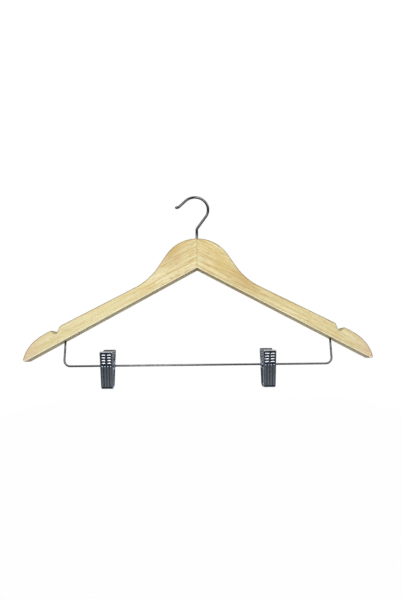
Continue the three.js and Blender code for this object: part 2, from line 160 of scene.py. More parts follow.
def arm_outline():
    """The right arm's outline, from the crown round to the seam's lower end."""
    upper, inward = unit(-UPPER_SLOPE), unit(-UPPER_SLOPE - 90)
    apex = np.array([0, CROWN_Z - UPPER_DROP])
    crown = np.array([CROWN_RADIUS * math.tan(math.radians(NECK_SLOPE) / 2), CROWN_Z])
    neck = meeting(crown, unit(-NECK_SLOPE), apex, upper)
    notch = meeting([HALF_WIDTH - NOTCH_FROM_TIP, 0], [0, 1], apex, upper)
    low = notch + NOTCH_LOW * upper + NOTCH_DEPTH * inward
    lip = notch + NOTCH_LENGTH * upper
    shoulder = lip + LIP_ROUND * upper
    tip_x = HALF_WIDTH - TIP_ROUND
    tip = np.array([tip_x, lower_at(tip_x) + TIP_ROUND / math.cos(math.radians(LOWER_SLOPE))])
    end = tip + TIP_ROUND * unit(90 - END_SLOPE)
    path = rounded([
        (0, CROWN_Z), (*crown, CROWN_RADIUS), (*neck, NECK_FILLET), (*notch, LIP_ROUND),
        (*low, NOTCH_ROUND), (*lip, LIP_ROUND), tuple(shoulder),
    ])
    lead, fall = shoulder + SHOULDER_LEAD * upper, end - SHOULDER_FALL * unit(-END_SLOPE)
    for t in np.linspace(0, 1, SHOULDER_POINTS):
        path.append((1 - t) ** 3 * shoulder + 3 * t * (1 - t) ** 2 * lead
                    + 3 * t * t * (1 - t) * fall + t ** 3 * end)
    path += arc(tip, TIP_ROUND, 90 - END_SLOPE, -90 - LOWER_SLOPE, step=TIP_STEP)
    return spaced(path + [np.array([0, lower_at(0)])])


right_half = arm_outline()
left_half = (right_half[1:-1] * [-1, 1])[::-1]
board = np.vstack([right_half, left_half])
print("the outline has", len(board), "points")

# %% [markdown]
# A wire, a turned eyelet and a rounded board can all be read as rings of points, skinned with
# quads. Blender has curve bevels and a screw modifier for this, but rings in code let one function
# serve all three, and the ends can be closed as the real piece is, flat or domed.

# %% Ring meshes
MM = 0.001


def make_piece(name, points, faces):
    """A new object from points in millimetres."""
    mesh = bpy.data.meshes.new(name)
    mesh.from_pydata((np.array(points) * MM).tolist(), [], faces)
    mesh.validate()
    mesh.shade_smooth()
    piece = bpy.data.objects.new(name, mesh)
    bpy.context.scene.collection.objects.link(piece)
    return piece


def skin(rings, round_trip=False):
    """Points and quads over rings of equal length; the last ring may join the first."""
    count, sides = len(rings), len(rings[0])
    faces = []
    for i in range(count if round_trip else count - 1):
        here, there = i * sides, (i + 1) % count * sides
        for k in range(sides):
            n = (k + 1) % sides
            faces.append((here + k, here + n, there + n, there + k))
    if not round_trip:
        faces.append(tuple(range(sides - 1, -1, -1)))
        faces.append(tuple(range((count - 1) * sides, count * sides)))
    return np.concatenate(rings), faces


print("three rings of four points take", len(skin([np.zeros((4, 3))] * 3)[1]), "faces")

# %% [markdown]
# The rounding cutter's path is a quarter circle, with one more ring a little further in on each
# face. That ring leaves a narrow rim beside the rounding, which carries a painted highlight along
# the lower edge and painted shade along the upper edge.

# %% Round the edges
# EDGE_RIM is the width of the flat rim that carries the painted edge highlight and shade
WOOD_THICKNESS, EDGE_ROUND, EDGE_RIM, EDGE_RINGS = 15.0, 0.8, 0.75, 7


def drawn_in(outline, inset):
    """The outline moved inwards; it runs clockwise seen from the front."""
    along = np.roll(outline, -1, axis=0) - outline
    along /= np.linalg.norm(along, axis=1)[:, None]
    inner = np.column_stack([along[:, 1], -along[:, 0]])
    before = np.roll(inner, 1, axis=0)
    share = 1 + (inner * before).sum(axis=1)
    return outline + inset * (inner + before) / share[:, None]


def level_ring(outline, y):
    """The outline as a ring at one depth of the board."""
    return np.column_stack([outline[:, 0], np.full(len(outline), y), outline[:, 1]])


half_thick = WOOD_THICKNESS / 2
cutter_path = [(EDGE_ROUND * (1 - math.sin(a)), EDGE_ROUND * (1 - math.cos(a)))
               for a in np.radians(np.linspace(0, 90, EDGE_RINGS))]
cutter_path.insert(0, (EDGE_ROUND + EDGE_RIM, 0.0))
board_rings = [level_ring(drawn_in(board, inset), half_thick - depth)
               for inset, depth in cutter_path]
board_rings += [level_ring(drawn_in(board, inset), depth - half_thick)
                for inset, depth in cutter_path[::-1]]
blank = make_piece("wooden_blank", *skin(board_rings))
print("the blank has", len(board_rings), "rings")

# %% [markdown]
# A drill or a saw takes wood away. Blender does that with a boolean modifier, which needs a second
# mesh as the tool. The result is kept and the tool is removed at once, because a hidden cutter
# would be a stray piece. Round tools, and later the eyelets, are turned: each point of a profile
# gives one ring.

# %% Turn and carve
TURNED_SIDES = 48


def lathe_rings(profile, axis):
    """Rings of a turned piece from (radius, along) points, about the X or the Z axis."""
    turns = np.linspace(0, 2 * math.pi, TURNED_SIDES, endpoint=False)
    rings = []
    for radius, along in profile:
        a, b = radius * np.cos(turns), radius * np.sin(turns)
        level = np.full(TURNED_SIDES, along)
        rings.append(np.column_stack([level, a, b] if axis == "X" else [a, b, level]))
    return rings


def settle(piece):
    """Keeps the result of the piece's modifiers as its mesh."""
    bpy.context.view_layer.update()
    seen = piece.evaluated_get(bpy.context.evaluated_depsgraph_get())
    result = bpy.data.meshes.new_from_object(seen)
    spare = piece.data
    piece.modifiers.clear()
    piece.data = result
    bpy.data.meshes.remove(spare)
    result.name = piece.name


def carve(piece, cutter, operation="DIFFERENCE"):
    """Cuts the piece with a cutter, or joins or crosses the two, and removes the cutter."""
    step = piece.modifiers.new("carve", "BOOLEAN")
    step.operation, step.object, step.solver = operation, cutter, "EXACT"
    settle(piece)
    spare = cutter.data
    bpy.data.objects.remove(cutter)
    bpy.data.meshes.remove(spare)


print("a turned piece has", TURNED_SIDES, "sides")

# %% [markdown]
# Four holes are drilled: one for the hook's shank, a wider recess under it for the riveted head and
# its washer, and a blind one for each leg of the bar. A dark disc could pass for a hole from the
# front, but not from below, so each hole is cut with a peg of its own size.

# %% Drill the holes
HOOK_WIRE, WASHER = 3.6, 7.2
LEG_X, LEG_SOCKET, BAR_WIRE, CLEAR = 172.5, 12.0, 2.5, 0.3
NECK_PAST, LEG_PAST = 30.0, 10.0  # how far a peg stands out of the wood


def peg(radius, low, high, x=0.0):
    """A round cutter along Z."""
    rings = lathe_rings([(radius, low), (radius, high)], "Z")
    return make_piece("peg", *skin([ring + [x, 0, 0] for ring in rings]))


seat_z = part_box("hook_washer")[1].z / MM + CLEAR
leg_top = lower_at(LEG_X) + LEG_SOCKET
carve(blank, peg(HOOK_WIRE / 2 + CLEAR, lower_at(0) - NECK_PAST, CROWN_Z + NECK_PAST))
carve(blank, peg(WASHER / 2 + CLEAR, lower_at(0) - NECK_PAST, seat_z))
for leg_x in (-LEG_X, LEG_X):
    carve(blank, peg(BAR_WIRE / 2 + CLEAR, lower_at(LEG_X) - LEG_PAST, leg_top + CLEAR, leg_x))
print("the blank has", len(blank.data.polygons), "faces")

# %% [markdown]
# The blank is parted at the seam. The left arm keeps a tongue that is glued into a groove in the
# right arm, so a stepped cutter is used for each: its plan is drawn in X and Y and it reaches past
# the board above and below.

# %% Seam cutter
TONGUE_LENGTH, TONGUE_HALF, GLUE = 8.0, 3.2, 0.1
FAR = 300.0


def seam_cutter(side):
    """A block over one arm, with the tongue on it or the groove cut out of it."""
    seam = side * GLUE / 2
    play = 0 if side < 0 else GLUE
    reach, half = TONGUE_LENGTH + play, TONGUE_HALF + play
    plan = [(side * FAR, -FAR), (side * FAR, FAR), (seam, FAR), (seam, half), (reach, half),
            (reach, -half), (seam, -half), (seam, -FAR)]
    if side < 0:
        plan = plan[::-1]
    rings = [np.array([(x, y, z) for x, y in plan]) for z in (-FAR, FAR)]
    return make_piece("seam_cutter", *skin(rings))


print("the tongue is", TONGUE_LENGTH, "mm long")

# %% [markdown]
# Painted light and shade on the edges belong to a place on the piece. They could be painted by
# hand, but then they would be lost with each change of the outline, so they are reckoned and kept
# on the mesh as a number per point that the finish can read. The lower rims get a painted
# highlight. The rounding below them gets painted shade, and the underside gets a little of it. The
# upper rims get painted shade too, and so does the outer wall of each strap notch near its lip,
# with a paler band further from the lip.

# %% Painted light and shade on the edges
LOWER_RIM = 3.0  # above the lower edge
LOWER_DEPTHS, LOWER_LIGHT_SHADE = [0.10, 0.35, 0.75, 1.0], [1.0, -0.9, -1.0, -0.15]
UPPER_DEPTHS, UPPER_SHADE = [0.5, 1.0], -0.85
NOTCH_MARKS, NOTCH_LIGHT_SHADE = [180.0, 183.0, 187.5, 190.0, 192.0], [0.0, 0.4, -1.0, -1.0, 0.0]


def edge_light_and_shade(point):
    """Above 0 for a painted highlight, below 0 for painted shade, 0 elsewhere."""
    here = np.array([point.x, point.z])
    along = np.roll(board, -1, axis=0) - board
    share = np.clip(((here - board) * along).sum(axis=1) / (along ** 2).sum(axis=1), 0, 1)
    inset = np.linalg.norm(here - board - share[:, None] * along, axis=1).min()
    rim = np.clip((EDGE_ROUND + EDGE_RIM - inset) / EDGE_RIM, 0, 1)
    depth = (half_thick - abs(point.y)) / EDGE_ROUND
    if point.z < lower_at(point.x) + LOWER_RIM:
        return rim * np.interp(depth, LOWER_DEPTHS, LOWER_LIGHT_SHADE)
    wall = np.interp(abs(point.x), NOTCH_MARKS, NOTCH_LIGHT_SHADE)
    return rim * np.interp(depth, UPPER_DEPTHS, [UPPER_SHADE, wall])


# the rim's width, which carries the painted highlight and painted shade
print("the worn rim is", EDGE_ROUND + EDGE_RIM, "mm wide")

# %% [markdown]
# Each arm is what the blank and the cutter of its side have in common. The flat faces are shaded
# flat and the rounding smooth, or the shading of the rounded edges would creep into the faces.

# %% Part the blank into two arms
FLAT = 0.9999  # a normal this close to an axis belongs to a flat face

arm_pieces = {}
for name, side in (("left_arm_wood", -1), ("right_arm_wood", 1)):
    arm = bpy.data.objects.new(name, blank.data.copy())
    bpy.context.scene.collection.objects.link(arm)
    carve(arm, seam_cutter(side), "INTERSECT")
    for face in arm.data.polygons:
        face.use_smooth = abs(face.normal.y) < FLAT and abs(face.normal.x) < FLAT
    # each point keeps its painted highlight (above 0) and its painted shade (below 0)
    painted_edge_light = arm.data.attributes.new("edge_light_and_shade", "FLOAT", "POINT")
    painted_edge_light.data.foreach_set("value", [edge_light_and_shade(vertex.co / MM) for vertex in arm.data.vertices])
    arm_pieces[side] = arm
bpy.data.objects.remove(blank)
print("arms:", [arm.name for arm in arm_pieces.values()])

# %% [markdown]
# ## Finishes from nodes
# A finish is a Principled shader with textures on its sockets. The textures read object
# coordinates, which are the same metres as the frame, so a fibre of the wood has its real width and
# stays on the piece when it moves. Node trees grow long when each link is written out, so a few
# helpers add a node, feed it and hand its result on.

# %% Node helpers
def new_finish(name):
    """A new material and its shader."""
    finish = bpy.data.materials.new(name)
    finish.use_nodes = True
    return finish, finish.node_tree.nodes["Principled BSDF"]


def node(finish, kind, inputs=None, **settings):
    """Adds a node, sets it up and feeds its inputs with numbers or with other nodes' sockets."""
    made = finish.node_tree.nodes.new(kind)
    for key, value in settings.items():
        setattr(made, key, value)
    for key, value in (inputs or {}).items():
        if isinstance(value, bpy.types.NodeSocket):
            finish.node_tree.links.new(value, made.inputs[key])
        else:
            made.inputs[key].default_value = value
    return made


def reckon(finish, operation, *values):
    """One step of arithmetic on numbers or sockets."""
    return node(finish, "ShaderNodeMath", dict(enumerate(values)), operation=operation).outputs[0]


def between(finish, value, low, high, to_low=0.0, to_high=1.0):
    """Stretches a value's range low to high onto another, smoothly."""
    step = node(finish, "ShaderNodeMapRange", {0: value, 1: low, 2: high, 3: to_low, 4: to_high})
    step.interpolation_type = "SMOOTHSTEP"
    return step.outputs[0]


def feed(finish, shader, **sockets):
    """Links results to a shader's sockets, with _ for a space in a socket's name."""
    for key, value in sockets.items():
        finish.node_tree.links.new(value, shader.inputs[key.replace("_", " ")])


print("materials before the finishes:", len(bpy.data.materials))

# %% [markdown]
# Colours are noted as a screen shows them, from 0 to 255, but a shader counts in linear light. One
# helper turns the first into the second. Another lays one colour over the last by a share, like a
# stain that takes more in some places than in others.

# %% Colours
def colour(red, green, blue):
    """A colour as it is read off a screen, as linear light."""
    def linear(v):
        v /= 255
        return v / 12.92 if v <= 0.04045 else ((v + 0.055) / 1.055) ** 2.4
    return (linear(red), linear(green), linear(blue), 1.0)


def blend_colours(finish, amount, a, b):
    """Mixes two colours, each a constant or a socket, by an amount from another socket."""
    mix = node(finish, "ShaderNodeMix", data_type="RGBA")
    links = finish.node_tree.links
    for socket, value in zip((mix.inputs[0], mix.inputs[6], mix.inputs[7]), (amount, a, b)):
        if isinstance(value, bpy.types.NodeSocket):
            links.new(value, socket)
        else:
            socket.default_value = value
    return mix.outputs[2]


print("a screen grey of 128 is", round(colour(128, 128, 128)[0], 3), "in linear light")

# %% [markdown]
# ## Pale lacquered wood
# The wood is pale and yellowish, with streaks that run along each arm and meet at an angle on the
# seam. A picture of wood would repeat and would smear at the edges, so the figure is made from
# noise in space, turned to the arm's slope and stretched along it. Slow noise gives the broad tone,
# faster noise the growth bands, the streaks, the short golden flecks, the fibres and the dark
# pores.

# %% Figure of the wood
SEED_SLANT = 0.7  # share of a seed that shifts the noise through the board
FIGURES = {       # waves to the metre along, through and across; detail, roughness and warp
    "tone": ((9, 30, 22), 2.0, 0.55, 0.0),
    "bands": ((9, 170, 210), 3.0, 0.5, 0.6),
    "fibres": ((45, 1300, 1300), 2.0, 0.55, 0.0),
    "pores": ((95, 1700, 1700), 1.0, 0.55, 0.0),
    "patches": ((28, 60, 60), 2.0, 0.55, 0.0),
    "streaks": ((18, 800, 800), 3.0, 0.6, 0.4),
    "flecks": ((90, 480, 480), 2.0, 0.6, 0.5),
}


def wood_values(wood, slope, seed, golden):
    """What the colours follow: the figures, the places on the arm, and the painted light and shade
    on the edges.
    """
    place = node(wood, "ShaderNodeTexCoord").outputs["Object"]
    turned = node(wood, "ShaderNodeMapping", {
        "Vector": place, "Rotation": (0, math.radians(slope), 0),
        "Location": (seed, seed * SEED_SLANT, 0)}).outputs[0]
    values = {}
    for name, (stretch, detail, rough, warp) in FIGURES.items():
        scaled = node(wood, "ShaderNodeMapping", {"Vector": turned, "Scale": stretch}).outputs[0]
        values[name] = node(wood, "ShaderNodeTexNoise", {
            "Vector": scaled, "Scale": 1.0, "Detail": detail, "Roughness": rough,
            "Distortion": warp}).outputs[0]
    across = node(wood, "ShaderNodeSeparateXYZ", {0: place}).outputs[0]
    values["aside"] = reckon(wood, "ABSOLUTE", across)
    # distance from the spot of the golden painted shade
    values["apart"] = node(wood, "ShaderNodeVectorMath", {0: place, 1: golden},
                           operation="DISTANCE").outputs[1]
    # painted highlight and painted shade on the edges, stored on the mesh
    values["painted_edge_light"] = node(wood, "ShaderNodeAttribute", attribute_name="edge_light_and_shade").outputs["Fac"]
    return values


print("the wood has", len(FIGURES), "figures")

# %% [markdown]
# Each figure is then one layer of colour over the last, thin or strong by its share. Mixing all of
# them at once would turn to mud, and layers can be judged one by one. The layers after the figures
# follow the place: a golden patch of painted shade near the upper edge, paler arms, warmer tips,
# the glue line, and the painted highlight and painted shade on the edges.

# %% Layers of colour
# WOOD_EDGE_HIGHLIGHT is the painted highlight on the lower rims; WOOD_EDGE_SHADE is the painted
# shade on the edges
WOOD_PALE, WOOD_EDGE_HIGHLIGHT = colour(250, 241, 194), colour(255, 249, 216)
WOOD_BODY, WOOD_BAND = colour(235, 213, 146), colour(216, 188, 120)
WOOD_GOLD, WOOD_TIP = colour(200, 160, 86), colour(228, 194, 164)
WOOD_PORE, WOOD_SEAM, WOOD_EDGE_SHADE = colour(150, 114, 62), colour(168, 136, 78), colour(124, 102, 66)


def wood_layers(paler):
    """Each layer: its value, the value's range, the share at both ends and the colour."""
    return [
        ("tone", 0.42, 0.58, 0.0, 1.0, WOOD_PALE),
        ("aside", 0.045, 0.110, 0.0, 0.70, WOOD_PALE),
        ("bands", 0.48, 0.68, 0.0, 0.50, WOOD_BAND),
        ("patches", 0.52, 0.66, 0.0, 0.55, WOOD_PALE),
        ("streaks", 0.45, 0.62, 0.0, 0.75, WOOD_BAND),
        ("flecks", 0.54, 0.70, 0.0, 0.60, WOOD_GOLD),
        ("fibres", 0.40, 0.68, 0.0, 0.50, WOOD_BAND),
        ("pores", 0.60, 0.74, 0.0, 0.55, WOOD_PORE),
        # golden painted shade, full within 3 mm of its spot and gone at 30 mm
        ("apart", 0.003, 0.030, 0.45, 0.0, WOOD_GOLD),
        ("aside", 0.045, 0.110, 0.0, paler, WOOD_PALE),
        ("aside", 0.190, 0.222, 0.0, 0.50, WOOD_TIP),
        ("aside", 0.0001, 0.0007, 0.5, 0.0, WOOD_SEAM),
        # the last two layers are the painted highlight and the painted shade on the edges
        ("painted_edge_light", 0.0, 0.5, 0.0, 1.0, WOOD_EDGE_HIGHLIGHT),
        ("painted_edge_light", -1.0, 0.0, 0.75, 0.0, WOOD_EDGE_SHADE),
    ]


print("the colour has", len(wood_layers(0.0)), "layers")

# %% [markdown]
# The lacquer is thin and satin, so the wood still shows its fibres in the way it shines. A thick
# coat would mirror the lamps as a varnished table does. So the roughness follows the fibres, the
# pores are sunk a little by a bump, and only a weak coat lies on top.

# %% Wood finish
NOISE_RANGE = (0.3, 0.7)  # that noise mostly keeps to
WOOD_GLOSS = (0.44, 0.56)
FIBRE_RELIEF, FIBRE_DEPTH = 0.12, 0.00005
COAT, COAT_ROUGHNESS, WOOD_SPECULAR = 0.05, 0.22, 0.35


def wood_finish(name, slope, seed, golden, paler):
    """Wood along a slope; golden is the place of a golden patch of painted shade near the upper
    edge, paler a share away from the seam.
    """
    wood, shader = new_finish(name)
    values = wood_values(wood, slope, seed, golden)
    base = WOOD_BODY
    for value, low, high, share_low, share_high, tint in wood_layers(paler):
        share = between(wood, values[value], low, high, share_low, share_high)
        base = blend_colours(wood, share, base, tint)
    gloss = between(wood, values["fibres"], *NOISE_RANGE, *WOOD_GLOSS)
    height = reckon(wood, "SUBTRACT", values["fibres"], values["pores"])
    relief = node(wood, "ShaderNodeBump", {
        "Strength": FIBRE_RELIEF, "Distance": FIBRE_DEPTH, "Height": height})
    feed(wood, shader, Base_Color=base, Roughness=gloss, Normal=relief.outputs[0])
    shader.inputs["Coat Weight"].default_value = COAT
    shader.inputs["Coat Roughness"].default_value = COAT_ROUGHNESS
    shader.inputs["Specular IOR Level"].default_value = WOOD_SPECULAR
    print(name, "has", len(wood.node_tree.nodes), "nodes")
    return wood


# %% [markdown]
# No two pieces of wood have the same figure. Each arm takes its own part of the noise, by a seed
# that shifts it, and a golden patch of painted shade at its own place near the upper edge. Then it
# gets its finish and is parented to an empty for its body, so that it moves with it, and the solid
# that it stands for is hidden.

# %% Dress the arms
def tie(piece, body, finish, slot, *nodes):
    """Gives a finished piece its material and its body, and hides the solids that it stands for;
    slot is not used.
    """
    piece.data.materials.clear()
    piece.data.materials.append(finish)
    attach(piece, body)
    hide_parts(*nodes)
    print(piece.name, "rides on", body, "with", len(piece.data.polygons), "faces")


# spots of the golden painted shade, near the upper edge of each arm
left_shade_spot, right_shade_spot = (-0.038, -0.0075, -0.082), (0.064, -0.0075, -0.122)
left_wood = wood_finish("left_arm_lacquered_wood", UPPER_SLOPE, 0.31, left_shade_spot, 0.40)
right_wood = wood_finish("right_arm_lacquered_wood", -UPPER_SLOPE, 0.84, right_shade_spot, 0.10)
tie(arm_pieces[-1], "frame", left_wood, "wood", "left_arm")
tie(arm_pieces[1], "frame", right_wood, "wood", "right_arm")

# %% [markdown]
# ## Plated metal
# Hook, bar, clips and springs are plated steel: a dark bright wire, a lighter wire, a bluish sheet
# and a plain spring wire. On thin metal the reflections do all the work, so the finish needs only a
# metal with a low roughness, broken up by clouds and faint drawing marks, or the highlights would
# look like glass. The sheet also reads a number from its mesh: above 0 a lighter, less blue tint
# paints a highlight on what stands proud, and below 0 it is the dull inside that no wheel has
# polished.

# %% Plated finishes
CLOUD_SHADE = 0.80  # of the tint, in the darker clouds
CLOUD_RANGE = (0.35, 0.68)
SPECK_SCALE = 9     # specks to one cloud
MARK_DEPTH = 0.00003
DULL_ROUGHNESS = 0.42


def plated_finish(name, tint, low, high, grain, marks, highlight_tint=None, dull=None):
    """Plated steel with a roughness from low to high; marks is the strength of the relief."""
    metal, shader = new_finish(name)
    place = node(metal, "ShaderNodeTexCoord").outputs["Object"]
    clouds = node(metal, "ShaderNodeTexNoise", {
        "Vector": place, "Scale": grain, "Detail": 4.0}).outputs[0]
    specks = node(metal, "ShaderNodeTexNoise", {
        "Vector": place, "Scale": grain * SPECK_SCALE, "Detail": 2.0}).outputs[0]
    shade = tuple(CLOUD_SHADE * part for part in tint[:3]) + (1.0,)
    base = blend_colours(metal, between(metal, clouds, *CLOUD_RANGE), tint, shade)
    gloss = between(metal, clouds, *NOISE_RANGE, low, high)
    # a lighter tint where the number is above 0 paints a highlight; below 0 the inside is dull
    if highlight_tint:
        highlight_and_dull = node(metal, "ShaderNodeAttribute", attribute_name="highlight_and_dull").outputs["Fac"]
        base = blend_colours(metal, between(metal, highlight_and_dull, 0.0, 1.0), base, highlight_tint)
        base = blend_colours(metal, between(metal, highlight_and_dull, -1.0, 0.0, 1.0, 0.0), base, dull)
        unpolished = between(metal, highlight_and_dull, -1.0, 0.0, DULL_ROUGHNESS, 0.0)
        gloss = reckon(metal, "MAXIMUM", gloss, unpolished)
    relief = node(metal, "ShaderNodeBump", {
        "Strength": marks, "Distance": MARK_DEPTH, "Height": specks})
    feed(metal, shader, Base_Color=base, Roughness=gloss, Normal=relief.outputs[0])
    shader.inputs["Metallic"].default_value = 1.0
    return metal


hook_plating = plated_finish("dark_plated_wire", colour(108, 109, 112), 0.12, 0.18, 160, 0.015)
bar_plating = plated_finish("bright_plated_wire", colour(120, 121, 124), 0.18, 0.26, 160, 0.015)
# rubbed is the lighter tint of the painted highlight on grips, flutes and rolled top
clip_plating = plated_finish("blue_plated_sheet", colour(154, 168, 190), 0.13, 0.19, 240, 0.01,
                             highlight_tint=colour(212, 211, 209), dull=colour(158, 160, 164))
spring_plating = plated_finish("drawn_spring_wire", colour(142, 142, 143), 0.24, 0.36, 300, 0.04)
print("finishes:", hook_plating.name, bar_plating.name, clip_plating.name, spring_plating.name)

# %% [markdown]
# ## The hook
# The wire comes up from a riveted head under the neck, bends aside, runs round the bow and ends in
# a short tail with a rounded toe that won't catch on cloth. It could be a Bezier curve with a
# bevel, but a real wire is bent round formers, so the path is made of runs and arcs with their own
# radii.

# %% Path of the hook
HEAD_RECESS, HEAD_HEIGHT = 3.0, 1.8
SHANK_RISE, SHANK_BEND = 16.3, 6.0
BOW_RISE, BOW_RADIUS, BOW_OFFSET = 28.7, 18.6, -2.5
TAIL_SLOPE, TAIL_LENGTH = 44.0, 13.6
TOE_SLOPE, TOE_LENGTH, TOE_BEND, TOE_STEP = 10.0, 3.0, 5.0, 4


def hook_path():
    """The middle of the hook's wire, from the riveted head to the toe."""
    bend = np.array([0, CROWN_Z + SHANK_RISE])
    bow = bend + [BOW_OFFSET, BOW_RISE]
    reach = math.hypot(BOW_OFFSET, BOW_RISE)
    climb = math.degrees(math.atan2(BOW_RISE, BOW_OFFSET) - math.asin(BOW_RADIUS / reach))
    start, end = climb - 90, 90 + TAIL_SLOPE
    bow_start, bow_end = bow + BOW_RADIUS * unit(start), bow + BOW_RADIUS * unit(end)
    tail = bow_end + TAIL_LENGTH * unit(180 + TAIL_SLOPE)
    toe = tail + TOE_LENGTH * unit(180 + TOE_SLOPE)
    path = rounded([(0, head_z + HEAD_HEIGHT / 2), (*bend, SHANK_BEND), tuple(bow_start)])
    path += arc(bow, BOW_RADIUS, start, end)
    path += rounded([tuple(bow_end), (*tail, TOE_BEND), tuple(toe)], step=TOE_STEP)
    return spaced(path)


head_z = lower_at(0) + HEAD_RECESS
hook_line = hook_path()
print("the hook's path has", len(hook_line), "points")

# %% [markdown]
# A curve with a round bevel would make a wire too, but its ends stay flat. Rings can be closed with
# a dome, as a wire's end is when it is filed. They have to follow the path without twisting: each
# ring takes over the side direction of the ring before it and only turns it square to the new run.

# %% Wires
WIRE_SIDES = 28
FIRST_SIDE = [0.37, 0.84, 0.41]  # a direction that no wire starts in
DOME_ANGLES = np.radians(np.linspace(15, 88, 6))


def wire_rings(path, radius, sides=WIRE_SIDES, domed=()):
    """Rings of a round wire along a path; domed names the ends, 0 or 1, that are rounded off."""
    path = np.array(path, float)
    radius = np.broadcast_to(np.array(radius, float), len(path))
    steps = np.diff(path, axis=0)
    steps /= np.linalg.norm(steps, axis=1)[:, None]
    tangents = np.vstack([steps[:1], steps[:-1] + steps[1:], steps[-1:]])
    tangents /= np.linalg.norm(tangents, axis=1)[:, None]
    side = np.cross(tangents[0], FIRST_SIDE)
    turns = np.linspace(0, 2 * math.pi, sides, endpoint=False)
    rings = []

    def ring(centre, tangent, r):
        other = np.cross(tangent, side)
        return centre + r * (np.outer(np.cos(turns), side) + np.outer(np.sin(turns), other))

    def dome(centre, tangent, r, outward):
        return [ring(centre + outward * r * math.sin(a) * tangent, tangent, r * math.cos(a))
                for a in DOME_ANGLES]

    for i, (centre, tangent) in enumerate(zip(path, tangents)):
        side = side - (side @ tangent) * tangent
        side /= np.linalg.norm(side)
        if i == 0 and 0 in domed:
            rings += dome(centre, tangent, radius[0], -1)[::-1]
        rings.append(ring(centre, tangent, radius[i]))
        if i == len(path) - 1 and 1 in domed:
            rings += dome(centre, tangent, radius[-1], 1)
    return rings


def upright(path):
    """A drawing in X and Z, stood up in space."""
    return np.array([(x, 0.0, z) for x, z in path])


print("a wire has", WIRE_SIDES, "sides")

# %% [markdown]
# The toe swells to a small ball, so the wire's radius grows smoothly over the last few millimetres.
# The riveted head is turned from a profile and joined to the wire, so that the hook is one solid.

# %% Hook
TOE_BALL, TOE_SWELL = 4.1, 4.0
HEAD_DIAMETER = 6.4
HEAD_CENTRE, HEAD_SHOULDER = 0.05, 3.05
HEAD_PROFILE = [  # radius and height, from the domed underside up
    (HEAD_CENTRE, 0.0), (1.6, 0.05), (2.5, 0.35), (HEAD_SHOULDER, 0.85),
    (HEAD_DIAMETER / 2, 1.25), (HEAD_DIAMETER / 2, 1.65),
    (HEAD_SHOULDER, HEAD_HEIGHT), (HEAD_CENTRE, HEAD_HEIGHT)]

from_toe = np.linalg.norm(hook_line - hook_line[-1], axis=1)
swell = np.clip(1 - from_toe / TOE_SWELL, 0, 1)
hook_radius = HOOK_WIRE / 2 + (TOE_BALL - HOOK_WIRE) / 2 * swell ** 2 * (3 - 2 * swell)
hook_points, hook_faces = skin(wire_rings(upright(hook_line), hook_radius, domed=[1]))
head_rings = [ring + [0, 0, head_z] for ring in lathe_rings(HEAD_PROFILE, "Z")]
hook = make_piece("hook_wire", hook_points, hook_faces)
carve(hook, make_piece("hook_head", *skin(head_rings)), "UNION")
tie(hook, "hook", hook_plating, "hook_steel", "hook")
washer = frame["nodes"]["hook_washer"]
washer.data.materials.clear()
washer.data.materials.append(hook_plating)

# %% [markdown]
# ## The trouser bar
# One wire makes the bar and both legs. Its ends are driven into blind holes in the arms, so they
# can stay flat: nobody sees them. The bar lies on the axis that the clips swing on, so its height
# is read from that joint.

# %% Trouser bar
BAR_BEND, BAR_STEP, BAR_SIDES = 8.0, 5, 24

joints = {joint["name"]: joint for joint in frame["record"]["behaviour"]["joints"]}
bar_z = joints["left_clip_swing"]["pos_m"][2] / MM
bar_line = spaced(rounded([(-LEG_X, leg_top), (-LEG_X, bar_z, BAR_BEND), (LEG_X, bar_z, BAR_BEND),
                           (LEG_X, leg_top)], step=BAR_STEP))
bar_rings = wire_rings(upright(bar_line), BAR_WIRE / 2, sides=BAR_SIDES)
bar = make_piece("trouser_bar_wire", *skin(bar_rings))
tie(bar, "frame", bar_plating, "bar_steel", "trouser_bar")

# %% [markdown]
# ## A pressed clip jaw
# Each jaw is one sheet of steel, pressed in a die: a leaning plate with a rolled top, side walls
# that carry round ears, a lip that bites, flutes below the pivot and curved grips above it. It
# could be cut out of a block with booleans, but a sheet has one thickness everywhere. So a grid of
# points is bent like the sheet, raised where the die has its pattern, and given its thickness at
# the end by a solidify modifier.

# %% Sides and ears of a jaw
HANDLE_HEIGHT, HANDLE_WIDTH, HANDLE_SPREAD = 19.5, 16.4, 11.73
JAW_DROP, JAW_WIDTH, JAW_SPREAD = 28.9, 15.3, 6.4
FLANGE, FLANGE_FILLET, EAR_RADIUS, EAR_STEP = 2.6, 2.5, 4.2, 5
EAR_ZONE = 8.0
ALMOST = 0.999  # keeps two arcs of an ear from meeting in one point
TOUCH = 1e-3


def plate_at(z):
    """Distance of the plate's outside from the middle of the clip."""
    climb = (HANDLE_SPREAD - JAW_SPREAD) * (z + JAW_DROP) / (HANDLE_HEIGHT + JAW_DROP)
    return JAW_SPREAD + climb


def half_width_at(z):
    """Half of the jaw's width at a height."""
    growth = (HANDLE_WIDTH - JAW_WIDTH) * (z + JAW_DROP) / (HANDLE_HEIGHT + JAW_DROP)
    return (JAW_WIDTH + growth) / 2


def wall_at(z):
    """Edge of a side wall, across the clip."""
    return FLANGE - plate_at(z)


